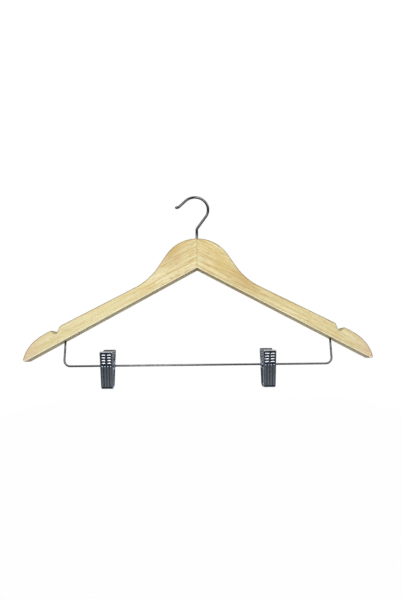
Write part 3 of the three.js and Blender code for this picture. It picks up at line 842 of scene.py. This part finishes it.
ear_path = spaced(rounded([
    (wall_at(-EAR_ZONE), -EAR_ZONE), (wall_at(-EAR_RADIUS), -EAR_RADIUS, FLANGE_FILLET),
    (EAR_RADIUS, -EAR_RADIUS, EAR_RADIUS * ALMOST), (EAR_RADIUS, EAR_RADIUS, EAR_RADIUS * ALMOST),
    (wall_at(EAR_RADIUS), EAR_RADIUS, FLANGE_FILLET), (wall_at(EAR_ZONE), EAR_ZONE),
], step=EAR_STEP))
ear_runs = np.linalg.norm(np.diff(ear_path, axis=0), axis=1)
ear_length = np.concatenate([[0], np.cumsum(ear_runs)])
fillet_end = ear_length[np.argmax(ear_path[:, 1] > -EAR_RADIUS - TOUCH)]
ear_knots = [0, fillet_end, ear_length[-1] - fillet_end, ear_length[-1]]
print("an ear's edge is", round(ear_length[-1], 1), "mm long")

# %% [markdown]
# The die pushes two patterns out of the plate. Four flutes stiffen the lower part: each is a ridge
# with round ends. Two columns of crescents give the fingers a grip: each rises from its lower edge
# to a crest and falls away above it, so it catches the light as the real ones do.

# %% The die's pattern
FLUTES, FLUTE_PITCH, FLUTE_HALF, FLUTE_RISE, FLUTE_SHARP = 4, 3.5, 1.1, 0.5, 1.3
FLUTE_FOOT, FLUTE_TOP, FLUTE_END = 2.4, 1.5, 1.25
GRIP_ROWS, GRIP_SIDE, GRIP_HALF, GRIP_THICK = 4, 3.5, 2.8, 0.85
GRIP_FIRST, GRIP_MARGIN, GRIP_LIFT = 4.2, 4.9, 0.5
GRIP_RISE, GRIP_ARCH, GRIP_CREST = 0.72, 0.65, 0.40


def raised(x, z):
    """How far the die pushes the plate out at a point."""
    rise = 0.0
    foot, top = -JAW_DROP + FLUTE_FOOT + FLUTE_END, FLUTE_TOP - FLUTE_END
    for i in range(FLUTES):
        off = math.hypot(x - (i - (FLUTES - 1) / 2) * FLUTE_PITCH, max(foot - z, 0, z - top))
        if off < FLUTE_HALF:
            crown = math.cos(math.pi / 2 * off / FLUTE_HALF)
            rise = max(rise, FLUTE_RISE * crown ** FLUTE_SHARP)
    pitch = (HANDLE_HEIGHT - GRIP_MARGIN - GRIP_FIRST) / (GRIP_ROWS - 1)
    for row in range(GRIP_ROWS):
        for side in (-GRIP_SIDE, GRIP_SIDE):
            across = (x - side) / GRIP_HALF
            if abs(across) >= 1:
                continue
            half = GRIP_THICK * (1 - across ** 2) ** 0.25
            middle = GRIP_FIRST + row * pitch + GRIP_LIFT - GRIP_ARCH * across ** 2
            share = (z - middle + half) / (2 * half)
            if 0 < share < 1:
                slope = min(share / GRIP_CREST, (1 - share) / (1 - GRIP_CREST))
                rise = max(rise, GRIP_RISE * (1 - across ** 6) * slope)
    return rise


grip_crest_z = GRIP_FIRST + GRIP_LIFT + GRIP_THICK * (2 * GRIP_CREST - 1)
print("a flute rises", raised(FLUTE_PITCH / 2, -10), "mm and a grip",
      round(raised(GRIP_SIDE, grip_crest_z), 2), "mm")

# %% [markdown]
# The grid has two families of lines. Each line is either on the flat plate, on a bend (0 to 1) or
# on a wall (1 to 2). Where two bends meet, at a corner, the square of the grid is turned into a
# quarter round, the way a pressed pan turns its corner.

# %% Lines of the grid
TOP_BEND, LIP_BEND = 1.5, 3.5
WALL_LINES, BEND_LINES, PLATE_LINES = 10, 7, 51

z_low, z_high = -JAW_DROP + LIP_BEND, HANDLE_HEIGHT - TOP_BEND
beyond = np.concatenate([np.linspace(2, 1, WALL_LINES)[:-1], np.linspace(1, 0, BEND_LINES)])
plain = np.linspace(-1, 1, PLATE_LINES)[1:-1]
level_knots = [  # heights, and the number of lines up to each
    (z_low, 0), (-EAR_ZONE, 38), (-EAR_RADIUS, 12), (EAR_RADIUS, 42), (EAR_ZONE, 19), (z_high, 48)]
levels = np.concatenate([np.linspace(low, high, count + 1)[1:]
                         for (low, _), (high, count) in zip(level_knots, level_knots[1:])])[:-1]
across_lines = [(-1, p) for p in beyond]
across_lines += [(a, 0) for a in plain] + [(1, p) for p in beyond[::-1]]
height_lines = [(z_low, -p) for p in beyond]
height_lines += [(z, 0) for z in levels] + [(z_high, p) for p in beyond[::-1]]
print("the grid has", len(across_lines), "by", len(height_lines), "lines")

# %% [markdown]
# The sheet is bent point by point. On the plate a point only follows the lean and the die. On a
# bend it goes round by its share of a quarter turn. On a wall it runs out to the wall's edge, which
# follows the ear near the pivot and closes to the mouth at the lip.

# %% Bend one point
SHEET, SIDE_BEND, MOUTH = 0.7, 1.2, -CLEAR / 2


def sheet_point(a, pa, z, pb):
    """A point of the sheet's outside, a of the way across on line pa, and at z on line pb."""
    side = math.copysign(1, a)
    bend_z = TOP_BEND if pb >= 0 else LIP_BEND
    up, past = math.copysign(1, pb), abs(pb)
    flat_x = half_width_at(z) - SIDE_BEND
    if pa == 0 and past == 0:
        x = a * flat_x
        return x, -plate_at(z) - raised(x, z), z
    reach = max(pa, past)
    corner = math.pi / 4 * (past / pa if pa >= past else 2 - pa / past)
    bent = math.pi / 2 * min(reach, 1)
    radius = SIDE_BEND * math.cos(corner) ** 2 + bend_z * math.sin(corner) ** 2
    x = a * flat_x
    if pa > 0:
        x = side * (flat_x + SIDE_BEND * math.cos(corner) * math.sin(bent))
    out_z = z + up * bend_z * math.sin(corner) * math.sin(bent)
    y = -plate_at(out_z) + radius * (1 - math.cos(bent))
    down = max(reach - 1, 0)
    if down == 0:
        return x, y, out_z
    if past == 0 and abs(z) < EAR_ZONE:
        way = np.interp(z, [-EAR_ZONE, -EAR_RADIUS, EAR_RADIUS, EAR_ZONE], ear_knots)
        edge_y = np.interp(way, ear_length, ear_path[:, 0])
        edge_z = np.interp(way, ear_length, ear_path[:, 1])
    else:
        edge_z, edge_y = out_z, wall_at(out_z)
        if out_z < z_low:
            share = min((z_low - out_z) / (LIP_BEND - SHEET), 1)
            edge_y += (MOUTH - edge_y) * share
    return x, y + (edge_y - y) * down, out_z + (edge_z - out_z) * down


print("the lip's edge lies at", np.round(sheet_point(0, 0, z_low, -2), 2))

# %% [markdown]
# A painted highlight, a lighter tint, goes on what stands proud: the grips most of all, then the
# flutes and the rolled top. The inside never sees a polishing wheel. To tell the two sides apart, a
# point's height is measured from the outside of the sheet, which falls back where the top and the
# lip are bent.

# %% Where the sheet gets a painted highlight
UNDER_SKIN = 0.6 * SHEET  # deeper than this is the inside
# FULL_HIGHLIGHT is the height that takes the full painted highlight
FULL_HIGHLIGHT = 0.45        # height that is polished all the way
GRIP_FOOT = 2.0
FLUTE_HIGHLIGHT, TOP_HIGHLIGHT = 0.6, 0.6


def highlight_and_dull_at(point):
    """Painted highlight: 1 on the grips, less on flutes and the top bend, 0 on the plain outside;
    -1 on the dull inside.
    """
    bend, past = (TOP_BEND, point.z - z_high) if point.z > 0 else (LIP_BEND, z_low - point.z)
    fall = bend - math.sqrt(bend ** 2 - min(max(past, 0), bend) ** 2)
    proud = fall - point.y - plate_at(point.z)
    if (proud < -UNDER_SKIN and abs(point.x) < half_width_at(point.z) - UNDER_SKIN
            and UNDER_SKIN - JAW_DROP < point.z < HANDLE_HEIGHT - UNDER_SKIN):
        return -1.0
    if point.z > z_high:
        return TOP_HIGHLIGHT
    share = 1.0 if point.z > GRIP_FOOT else FLUTE_HIGHLIGHT
    return min(max(proud, 0) / FULL_HIGHLIGHT, 1) * share


grip_crest = Vector((GRIP_SIDE, -plate_at(grip_crest_z) - GRIP_RISE, grip_crest_z))
print("the polish on a grip is", highlight_and_dull_at(grip_crest))

# %% [markdown]
# Now the sheet is made from the grid, thickened inwards and pierced through both ears for the
# eyelet. Edges are marked as sharp by their angle, so a cut edge stays crisp and a bend is smooth.

# %% Press the jaw
EYELET_BORE, EYELET_WALL = BAR_WIRE / 2 + CLEAR, 0.45
EYELET_RADIUS = EYELET_BORE + EYELET_WALL
PIVOT_HALF = 12  # of the cutter that pierces both ears
SHARP = math.radians(50)

sheet_points = [sheet_point(a, pa, z, pb) for z, pb in height_lines for a, pa in across_lines]
wide = len(across_lines)
sheet_faces = [(i * wide + k, i * wide + k + 1, (i + 1) * wide + k + 1, (i + 1) * wide + k)
               for i in range(len(height_lines) - 1) for k in range(wide - 1)]
pressed_jaw = make_piece("pressed_jaw", sheet_points, sheet_faces)
thicken = pressed_jaw.modifiers.new("sheet", "SOLIDIFY")
thicken.thickness, thicken.offset = SHEET * MM, -1
settle(pressed_jaw)
pivot_radius = EYELET_RADIUS + CLEAR
pivot_rings = lathe_rings([(pivot_radius, -PIVOT_HALF), (pivot_radius, PIVOT_HALF)], "X")
carve(pressed_jaw, make_piece("pivot", *skin(pivot_rings)))
pressed_jaw.data.shade_smooth()
pressed_jaw.data.set_sharp_from_angle(angle=SHARP)
# each point keeps its painted highlight, and -1 on the dull inside
highlight_and_dull = pressed_jaw.data.attributes.new("highlight_and_dull", "FLOAT", "POINT")
highlight_and_dull.data.foreach_set("value", [highlight_and_dull_at(v.co / MM) for v in pressed_jaw.data.vertices])
print("a jaw has", len(pressed_jaw.data.polygons), "faces")

# %% [markdown]
# ## Eyelet and spring
# The ears of both jaws turn on an eyelet, a short tube with flared ends that slides on the bar. A
# torsion spring is wound round it, with one leg against the inside of each handle. The tube is
# turned from a profile. The spring is a wire along a helix, which is only a few lines of
# arithmetic.

# %% Eyelet and spring lines
STAGGER = (SHEET + CLEAR) / 2
EAR_OUT = half_width_at(EAR_RADIUS) + STAGGER
EAR_IN = half_width_at(-EAR_RADIUS) - STAGGER - SHEET
FLARE_RISE, FLARE_THICK, RIM_ROUND, RIM_STEP = 0.8, 0.5, 0.2, 0.02
MOUTH_OUT, MOUTH_IN = 0.12, 0.14  # a point on the round of the bore's mouth
SPRING_WIRE, SPRING_TURNS, SPRING_REACH = 1.0, 6, 11.0
SPRING_SIDES, TURN_POINTS, COIL_PLAY = 14, 24, 0.12


def eyelet_profile():
    """The eyelet's section, from its outside round both ends, as (radius, along) points."""
    neck = EAR_OUT + CLEAR
    half, rim = neck + FLARE_THICK, EYELET_RADIUS + FLARE_RISE
    end = [(EYELET_RADIUS, neck - RIM_STEP), (rim - RIM_ROUND / 2, neck),
           (rim, neck + RIM_ROUND / 2), (rim, half - RIM_ROUND), (rim - RIM_ROUND, half),
           (EYELET_RADIUS, half), (EYELET_BORE + MOUTH_OUT, half - MOUTH_IN),
           (EYELET_BORE, half - FLARE_THICK)]
    return end + [(r, -along) for r, along in end[::-1]]


def spring_line():
    """The middle of the spring's wire: a leg, the coils and the other leg."""
    coil = EYELET_RADIUS + CLEAR + COIL_PLAY + SPRING_WIRE / 2
    rest = plate_at(SPRING_REACH) - SHEET - CLEAR - SPRING_WIRE / 2
    start = math.atan2(SPRING_REACH, -rest) + math.acos(coil / math.hypot(rest, SPRING_REACH))
    sweep = 2 * math.pi * (SPRING_TURNS + 1) + math.pi - 2 * start
    half = EAR_IN - CLEAR - SPRING_WIRE / 2
    turn = np.linspace(0, 1, TURN_POINTS * SPRING_TURNS)
    angle = start + sweep * turn
    coils = np.column_stack([-half + 2 * half * turn, coil * np.cos(angle), coil * np.sin(angle)])
    return np.vstack([[-half, -rest, SPRING_REACH], coils, [half, rest, SPRING_REACH]])


eyelet_points, eyelet_faces = skin(lathe_rings(eyelet_profile(), "X"), round_trip=True)
spring_rings = wire_rings(spring_line(), SPRING_WIRE / 2, sides=SPRING_SIDES, domed=[0, 1])
spring_points, spring_faces = skin(spring_rings)
print("an eyelet has", len(eyelet_faces), "faces and a spring", len(spring_faces))

# %% [markdown]
# ## Two clips
# Both clips are put together from the same pieces. The rear jaw is the front jaw turned round, and
# each is shifted sideways by a little over half a sheet, so that their ears lie beside each other.
# Each jaw rides on its own body. The spring touches both, with its legs against the handles; it is
# placed at the pivot and tied to neither body.

# %% Assemble the two clips
CLIP_LEAN = 8.5
LEAN = Matrix.Rotation(math.radians(CLIP_LEAN), 4, "X")
ABOUT = Matrix.Rotation(math.pi, 4, "Z")

for clip in ("left_clip", "right_clip"):
    pivot = Vector(joints[f"{clip}_swing"]["pos_m"])
    seat = Matrix.Translation(pivot) @ LEAN
    for half, shift, turn in (("front", STAGGER, Matrix()), ("rear", -STAGGER, ABOUT)):
        jaw = bpy.data.objects.new(f"{clip}_{half}_jaw_sheet", pressed_jaw.data.copy())
        jaw.data.transform(seat @ Matrix.Translation((shift * MM, 0, 0)) @ turn)
        bpy.context.scene.collection.objects.link(jaw)
        tie(jaw, f"{clip}_{half}", clip_plating, "clip_steel", f"{clip}_{half}_jaw")
    eyelet = make_piece(f"{clip}_eyelet_tube", eyelet_points, eyelet_faces)
    eyelet.data.transform(seat)
    eyelet.data.set_sharp_from_angle(angle=SHARP)
    tie(eyelet, f"{clip}_carrier", clip_plating, "clip_steel", f"{clip}_eyelet")
    spring = make_piece(f"{clip}_spring_wire", spring_points, spring_faces)
    spring.data.transform(seat)
    spring.data.materials.append(spring_plating)
    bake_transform(spring)
    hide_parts(f"{clip}_spring")
    print(spring.name, "follows both jaws with", len(spring.data.polygons), "faces")
bpy.data.objects.remove(pressed_jaw)

# %% [markdown]
# ## Floor, light and camera
# The hanger is shown against plain white. White all round would flood the underside of the arms
# with light, so the paper on the floor glows only for rays that come straight from the camera or
# from a mirror, which the Light Path node tells apart. It keeps a little of its own shading under
# the glow, and with it the hanger's shadow.

# %% Floor
FLOOR_SIZE, FLOOR_PLACE = 4, (0, 2.2, -0.75)
PAPER, PAPER_ROUGHNESS, PAPER_GLOW = (0.55, 0.55, 0.55, 1), 0.9, 0.985
WHITE = (1, 1, 1, 1)


def straight_rays(finish, path):
    """1 for rays from the camera, from a mirror or through glass."""
    seen = reckon(finish, "MAXIMUM", path["Is Camera Ray"], path["Is Glossy Ray"])
    return reckon(finish, "MAXIMUM", seen, path["Is Transmission Ray"])


bpy.ops.mesh.primitive_plane_add(size=FLOOR_SIZE, location=FLOOR_PLACE)
floor = bpy.context.object
floor.name = "floor"
paper, paper_shader = new_finish("white_paper")
paper_shader.inputs["Base Color"].default_value = PAPER
paper_shader.inputs["Roughness"].default_value = PAPER_ROUGHNESS
paper_path = node(paper, "ShaderNodeLightPath").outputs
paper_share = reckon(paper, "MULTIPLY", straight_rays(paper, paper_path), PAPER_GLOW)
paper_glow = node(paper, "ShaderNodeEmission", {"Color": WHITE, "Strength": 1.0}).outputs[0]
paper_mix = node(paper, "ShaderNodeMixShader", {
    0: paper_share, 1: paper_shader.outputs[0], 2: paper_glow})
feed(paper, paper.node_tree.nodes["Material Output"], Surface=paper_mix.outputs[0])
floor.data.materials.append(paper)
print("the floor is", FLOOR_SIZE, "m wide")

# %% [markdown]
# Plated wire shows little but its surroundings. An even room would make it a flat grey line, so the
# room that the metal mirrors is mostly dim and holds a few bright panels, as a studio does: a tall
# one on the right and one high up in front, with pale strips on the ground, a pale ceiling and a
# pale back wall. They draw the light core and the dark edges of the wire. The camera still sees
# white, and the wood takes only a plain soft glow from this room.

# %% Studio room
STRIP_ASIDE = 0.25

room = bpy.data.worlds.new("studio_room")
bpy.context.scene.world = room
room.use_nodes = True
room.node_tree.nodes.clear()
room_path = node(room, "ShaderNodeLightPath").outputs
way = node(room, "ShaderNodeTexCoord").outputs["Generated"]
way_x, way_y, way_z = node(room, "ShaderNodeSeparateXYZ", {0: way}).outputs
way_aside = reckon(room, "ABSOLUTE", way_x)
strip_off = reckon(room, "ABSOLUTE", reckon(room, "SUBTRACT", way_aside, STRIP_ASIDE))
in_front = between(room, way_y, -0.30, 0.00, 1.0, 0.0)


def panel(glow, *fades):
    """A glow in front of the hanger that ends where the fades say."""
    for fade in (in_front, *fades):
        glow = reckon(room, "MULTIPLY", glow, fade)
    return glow


room_glows = [
    between(room, way_z, -0.50, -0.25, 0.05, 0.10),    # all round
    between(room, way_z, 0.55, 0.80, 0.0, 0.70),       # ceiling
    between(room, way_y, 0.60, 0.90, 0.0, 0.65),       # back wall
    between(room, way_aside, 0.60, 0.95, 0.0, 0.14),   # side walls
    panel(between(room, strip_off, 0.08, 0.18, 0.06, 0.50),    # strips on the ground
          between(room, way_z, -0.80, -0.62), between(room, way_z, -0.52, -0.42, 1.0, 0.0)),
    panel(between(room, way_x, 0.27, 0.38, 0.0, 3.6),          # tall panel on the right
          between(room, way_x, 0.52, 0.68, 1.0, 0.0),
          between(room, way_z, -0.34, -0.18), between(room, way_z, 0.24, 0.34, 1.0, 0.0)),
    panel(between(room, way_z, 0.50, 0.58, 0.0, 3.0),          # high panel
          between(room, way_z, 0.66, 0.78, 1.0, 0.0),
          between(room, way_aside, 0.55, 0.70, 1.0, 0.0)),
]
print("the room mirrors", len(room_glows), "glows")

# %% [markdown]
# The Light Path node sorts the rays again. The camera sees white, a mirror sees the glows, and the
# rays that light the hanger see a soft glow that is stronger behind it than in front.

# %% Light of the room
mirrored = room_path["Is Camera Ray"]
for glow in room_glows:
    mirrored = reckon(room, "MAXIMUM", mirrored, glow)
seen = node(room, "ShaderNodeBackground", {"Color": WHITE, "Strength": mirrored}).outputs[0]
soft_level = between(room, way_y, -0.2, 0.8, 0.24, 0.70)
soft = node(room, "ShaderNodeBackground", {"Color": WHITE, "Strength": soft_level}).outputs[0]
room_mix = node(room, "ShaderNodeMixShader", {
    0: straight_rays(room, room_path), 1: soft, 2: seen}).outputs[0]
feed(room, node(room, "ShaderNodeOutputWorld"), Surface=room_mix)
print("the room has", len(room.node_tree.nodes), "nodes")

# %% [markdown]
# Four large area lamps light the wood from the front. A sun or a point lamp would draw hard shadows
# on the pale wood. Only the tall one shows in the metal, where it adds a narrow highlight, because
# the room's panels already give the wide ones.

# %% Lamps
MIDDLE = (0, 0, -0.14)


def soft_lamp(name, place, aim, size, power, in_mirrors):
    """An area lamp that faces its aim; in_mirrors says whether the metal shows it."""
    lamp = bpy.data.lights.new(name, "AREA")
    lamp.shape, lamp.size, lamp.size_y, lamp.energy = "RECTANGLE", size[0], size[1], power
    holder = bpy.data.objects.new(name, lamp)
    holder.location = place
    holder.rotation_euler = (Vector(aim) - Vector(place)).to_track_quat("-Z", "Y").to_euler()
    holder.visible_glossy = in_mirrors
    bpy.context.scene.collection.objects.link(holder)
    print(name, "gives", power, "W")


soft_lamp("high_softbox", (0, -0.95, 0.40), MIDDLE, (1.5, 0.5), 3.9, False)
soft_lamp("tall_softbox", (-0.165, -1.00, -0.03), (-0.165, 0, -0.23), (0.25, 0.75), 3.4, True)
soft_lamp("left_softbox", (-0.50, -1.40, 0.05), MIDDLE, (0.5, 0.7), 1.9, False)
soft_lamp("right_softbox", (0.55, -1.35, 0.05), MIDDLE, (0.5, 0.7), 1.9, False)

# %% [markdown]
# The camera stands close and level with the lower part, so it looks up a little and sees the arms
# from below. Blender wants the lens in millimetres on a sensor, but from a picture it can only be
# measured in pixels, so the one is reckoned from the other.

# %% Camera
FOCUS_PX, FRAME_PX, SENSOR = 330.0, 601, 36
CAMERA_PLACE, LOOK_UP, ROLL = (0.0041, -0.4329, -0.2242), 10.22, -0.65

camera = bpy.data.cameras.new("camera")
camera.sensor_width = SENSOR
camera.lens = FOCUS_PX / FRAME_PX * SENSOR
viewer = bpy.data.objects.new("camera", camera)
viewer.matrix_world = (Matrix.Translation(CAMERA_PLACE)
                       @ Matrix.Rotation(math.radians(90 + LOOK_UP), 4, "X")
                       @ Matrix.Rotation(math.radians(ROLL), 4, "Z"))
bpy.context.scene.collection.objects.link(viewer)
bpy.context.scene.camera = viewer
bpy.context.scene.view_settings.view_transform = "Standard"
print("lens", round(camera.lens, 2), "mm")
